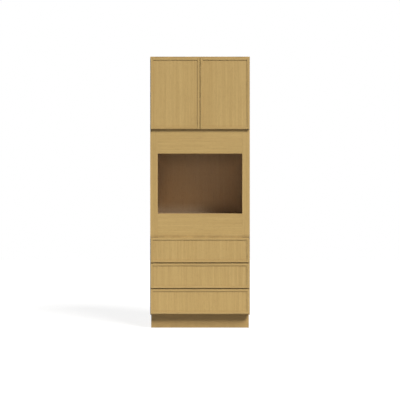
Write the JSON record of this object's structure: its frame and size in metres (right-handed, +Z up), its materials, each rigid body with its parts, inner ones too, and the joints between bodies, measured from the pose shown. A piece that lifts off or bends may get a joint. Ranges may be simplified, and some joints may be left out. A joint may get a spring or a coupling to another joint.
{
  "type": "tall oven housing unit",
  "caption": "Tall face-frame kitchen cabinet with hinged doors over an open bay for a built-in oven, full-extension drawers below it and a recessed toe space.",
  "frame": {"origin": "on the ground, in the middle of the footprint, fronts included", "axes": "+Z up, -Y out of the fronts, +X to the right as seen from the front"},
  "size_m": [0.8382, 0.6318, 2.286],
  "materials": {
    "front_wood": "clear satin lacquer over straight fine grain",
    "frame_wood": "clear satin lacquer",
    "cabinet_veneer": "clear satin lacquer on veneer",
    "plywood": "clear matt lacquer on plywood",
    "box_wood": "clear matt lacquer on solid boards",
    "runner_steel": "zinc plated",
    "hinge_metal": "nickel plated, satin",
    "bright_steel": "polished steel",
    "bumper": "soft, milky"
  },
  "bodies": {
    "cabinet": {"left_side_panel": "cabinet_veneer", "right_side_panel": "cabinet_veneer", "cabinet_floor": "plywood", "cabinet_top": "plywood", "back_panel": "plywood", "hanging_rails": "plywood", "toe_kick_board": "cabinet_veneer", "left_stile": "frame_wood", "right_stile": "frame_wood", "frame_rails": "frame_wood", "upper_oven_rail": "frame_wood", "lower_oven_rail": "frame_wood", "oven_deck": "plywood", "oven_deck_cleats": "plywood", "cupboard_floor": "plywood", "cupboard_shelf": "plywood", "shelf_pins": "hinge_metal", "runner_blocks": "plywood", "cabinet_runners": "runner_steel", "hinge_arms": "hinge_metal"},
    "left_door": {"left_door_stiles": "front_wood", "left_door_rails": "front_wood", "left_door_panel": "front_wood", "left_hinge_cups": "hinge_metal", "left_hinge_pins": "bright_steel", "left_door_bumpers": "bumper"},
    "right_door": {"right_door_stiles": "front_wood", "right_door_rails": "front_wood", "right_door_panel": "front_wood", "right_hinge_cups": "hinge_metal", "right_hinge_pins": "bright_steel", "right_door_bumpers": "bumper"},
    "top_drawer": {"top_front_frame": "front_wood", "top_front_panel": "front_wood", "top_box_sides": "box_wood", "top_box_ends": "box_wood", "top_box_bottom": "plywood", "top_drawer_runners": "runner_steel"},
    "top_middle_runner": {"top_middle_runners": "runner_steel"},
    "top_outer_cage": {"top_outer_cages": "bright_steel"},
    "top_inner_cage": {"top_inner_cages": "bright_steel"},
    "middle_drawer": {"middle_front_frame": "front_wood", "middle_front_panel": "front_wood", "middle_box_sides": "box_wood", "middle_box_ends": "box_wood", "middle_box_bottom": "plywood", "middle_drawer_runners": "runner_steel"},
    "middle_middle_runner": {"middle_middle_runners": "runner_steel"},
    "middle_outer_cage": {"middle_outer_cages": "bright_steel"},
    "middle_inner_cage": {"middle_inner_cages": "bright_steel"},
    "bottom_drawer": {"bottom_front_frame": "front_wood", "bottom_front_panel": "front_wood", "bottom_box_sides": "box_wood", "bottom_box_ends": "box_wood", "bottom_box_bottom": "plywood", "bottom_drawer_runners": "runner_steel"},
    "bottom_middle_runner": {"bottom_middle_runners": "runner_steel"},
    "bottom_outer_cage": {"bottom_outer_cages": "bright_steel"},
    "bottom_inner_cage": {"bottom_inner_cages": "bright_steel"}
  },
  "joints": [
    {"name": "left_door_hinge", "type": "hinge", "parent": "cabinet", "child": "left_door", "pos_m": [-0.40774, -0.30466, 1.97485], "axis": [0, 0, -1], "range_deg": [0, 105]},
    {"name": "right_door_hinge", "type": "hinge", "parent": "cabinet", "child": "right_door", "pos_m": [0.40774, -0.30466, 1.97485], "axis": [0, 0, 1], "range_deg": [0, 105]},
    {"name": "top_drawer_slide", "type": "slide", "parent": "cabinet", "child": "top_drawer", "axis": [0, -1, 0], "range_m": [0, 0.55]},
    {"name": "top_middle_runner_slide", "type": "slide", "parent": "cabinet", "child": "top_middle_runner", "axis": [0, -1, 0], "range_m": [0, 0.275]},
    {"name": "top_outer_cage_slide", "type": "slide", "parent": "cabinet", "child": "top_outer_cage", "axis": [0, -1, 0], "range_m": [0, 0.1375]},
    {"name": "top_inner_cage_slide", "type": "slide", "parent": "cabinet", "child": "top_inner_cage", "axis": [0, -1, 0], "range_m": [0, 0.4125]},
    {"name": "middle_drawer_slide", "type": "slide", "parent": "cabinet", "child": "middle_drawer", "axis": [0, -1, 0], "range_m": [0, 0.55]},
    {"name": "middle_middle_runner_slide", "type": "slide", "parent": "cabinet", "child": "middle_middle_runner", "axis": [0, -1, 0], "range_m": [0, 0.275]},
    {"name": "middle_outer_cage_slide", "type": "slide", "parent": "cabinet", "child": "middle_outer_cage", "axis": [0, -1, 0], "range_m": [0, 0.1375]},
    {"name": "middle_inner_cage_slide", "type": "slide", "parent": "cabinet", "child": "middle_inner_cage", "axis": [0, -1, 0], "range_m": [0, 0.4125]},
    {"name": "bottom_drawer_slide", "type": "slide", "parent": "cabinet", "child": "bottom_drawer", "axis": [0, -1, 0], "range_m": [0, 0.55]},
    {"name": "bottom_middle_runner_slide", "type": "slide", "parent": "cabinet", "child": "bottom_middle_runner", "axis": [0, -1, 0], "range_m": [0, 0.275]},
    {"name": "bottom_outer_cage_slide", "type": "slide", "parent": "cabinet", "child": "bottom_outer_cage", "axis": [0, -1, 0], "range_m": [0, 0.1375]},
    {"name": "bottom_inner_cage_slide", "type": "slide", "parent": "cabinet", "child": "bottom_inner_cage", "axis": [0, -1, 0], "range_m": [0, 0.4125]}
  ],
  "couplings": [
    {"joint": "top_middle_runner_slide", "follows": "top_drawer_slide", "ratio": 0.5},
    {"joint": "top_outer_cage_slide", "follows": "top_drawer_slide", "ratio": 0.25},
    {"joint": "top_inner_cage_slide", "follows": "top_drawer_slide", "ratio": 0.75},
    {"joint": "middle_middle_runner_slide", "follows": "middle_drawer_slide", "ratio": 0.5},
    {"joint": "middle_outer_cage_slide", "follows": "middle_drawer_slide", "ratio": 0.25},
    {"joint": "middle_inner_cage_slide", "follows": "middle_drawer_slide", "ratio": 0.75},
    {"joint": "bottom_middle_runner_slide", "follows": "bottom_drawer_slide", "ratio": 0.5},
    {"joint": "bottom_outer_cage_slide", "follows": "bottom_drawer_slide", "ratio": 0.25},
    {"joint": "bottom_inner_cage_slide", "follows": "bottom_drawer_slide", "ratio": 0.75}
  ]
}
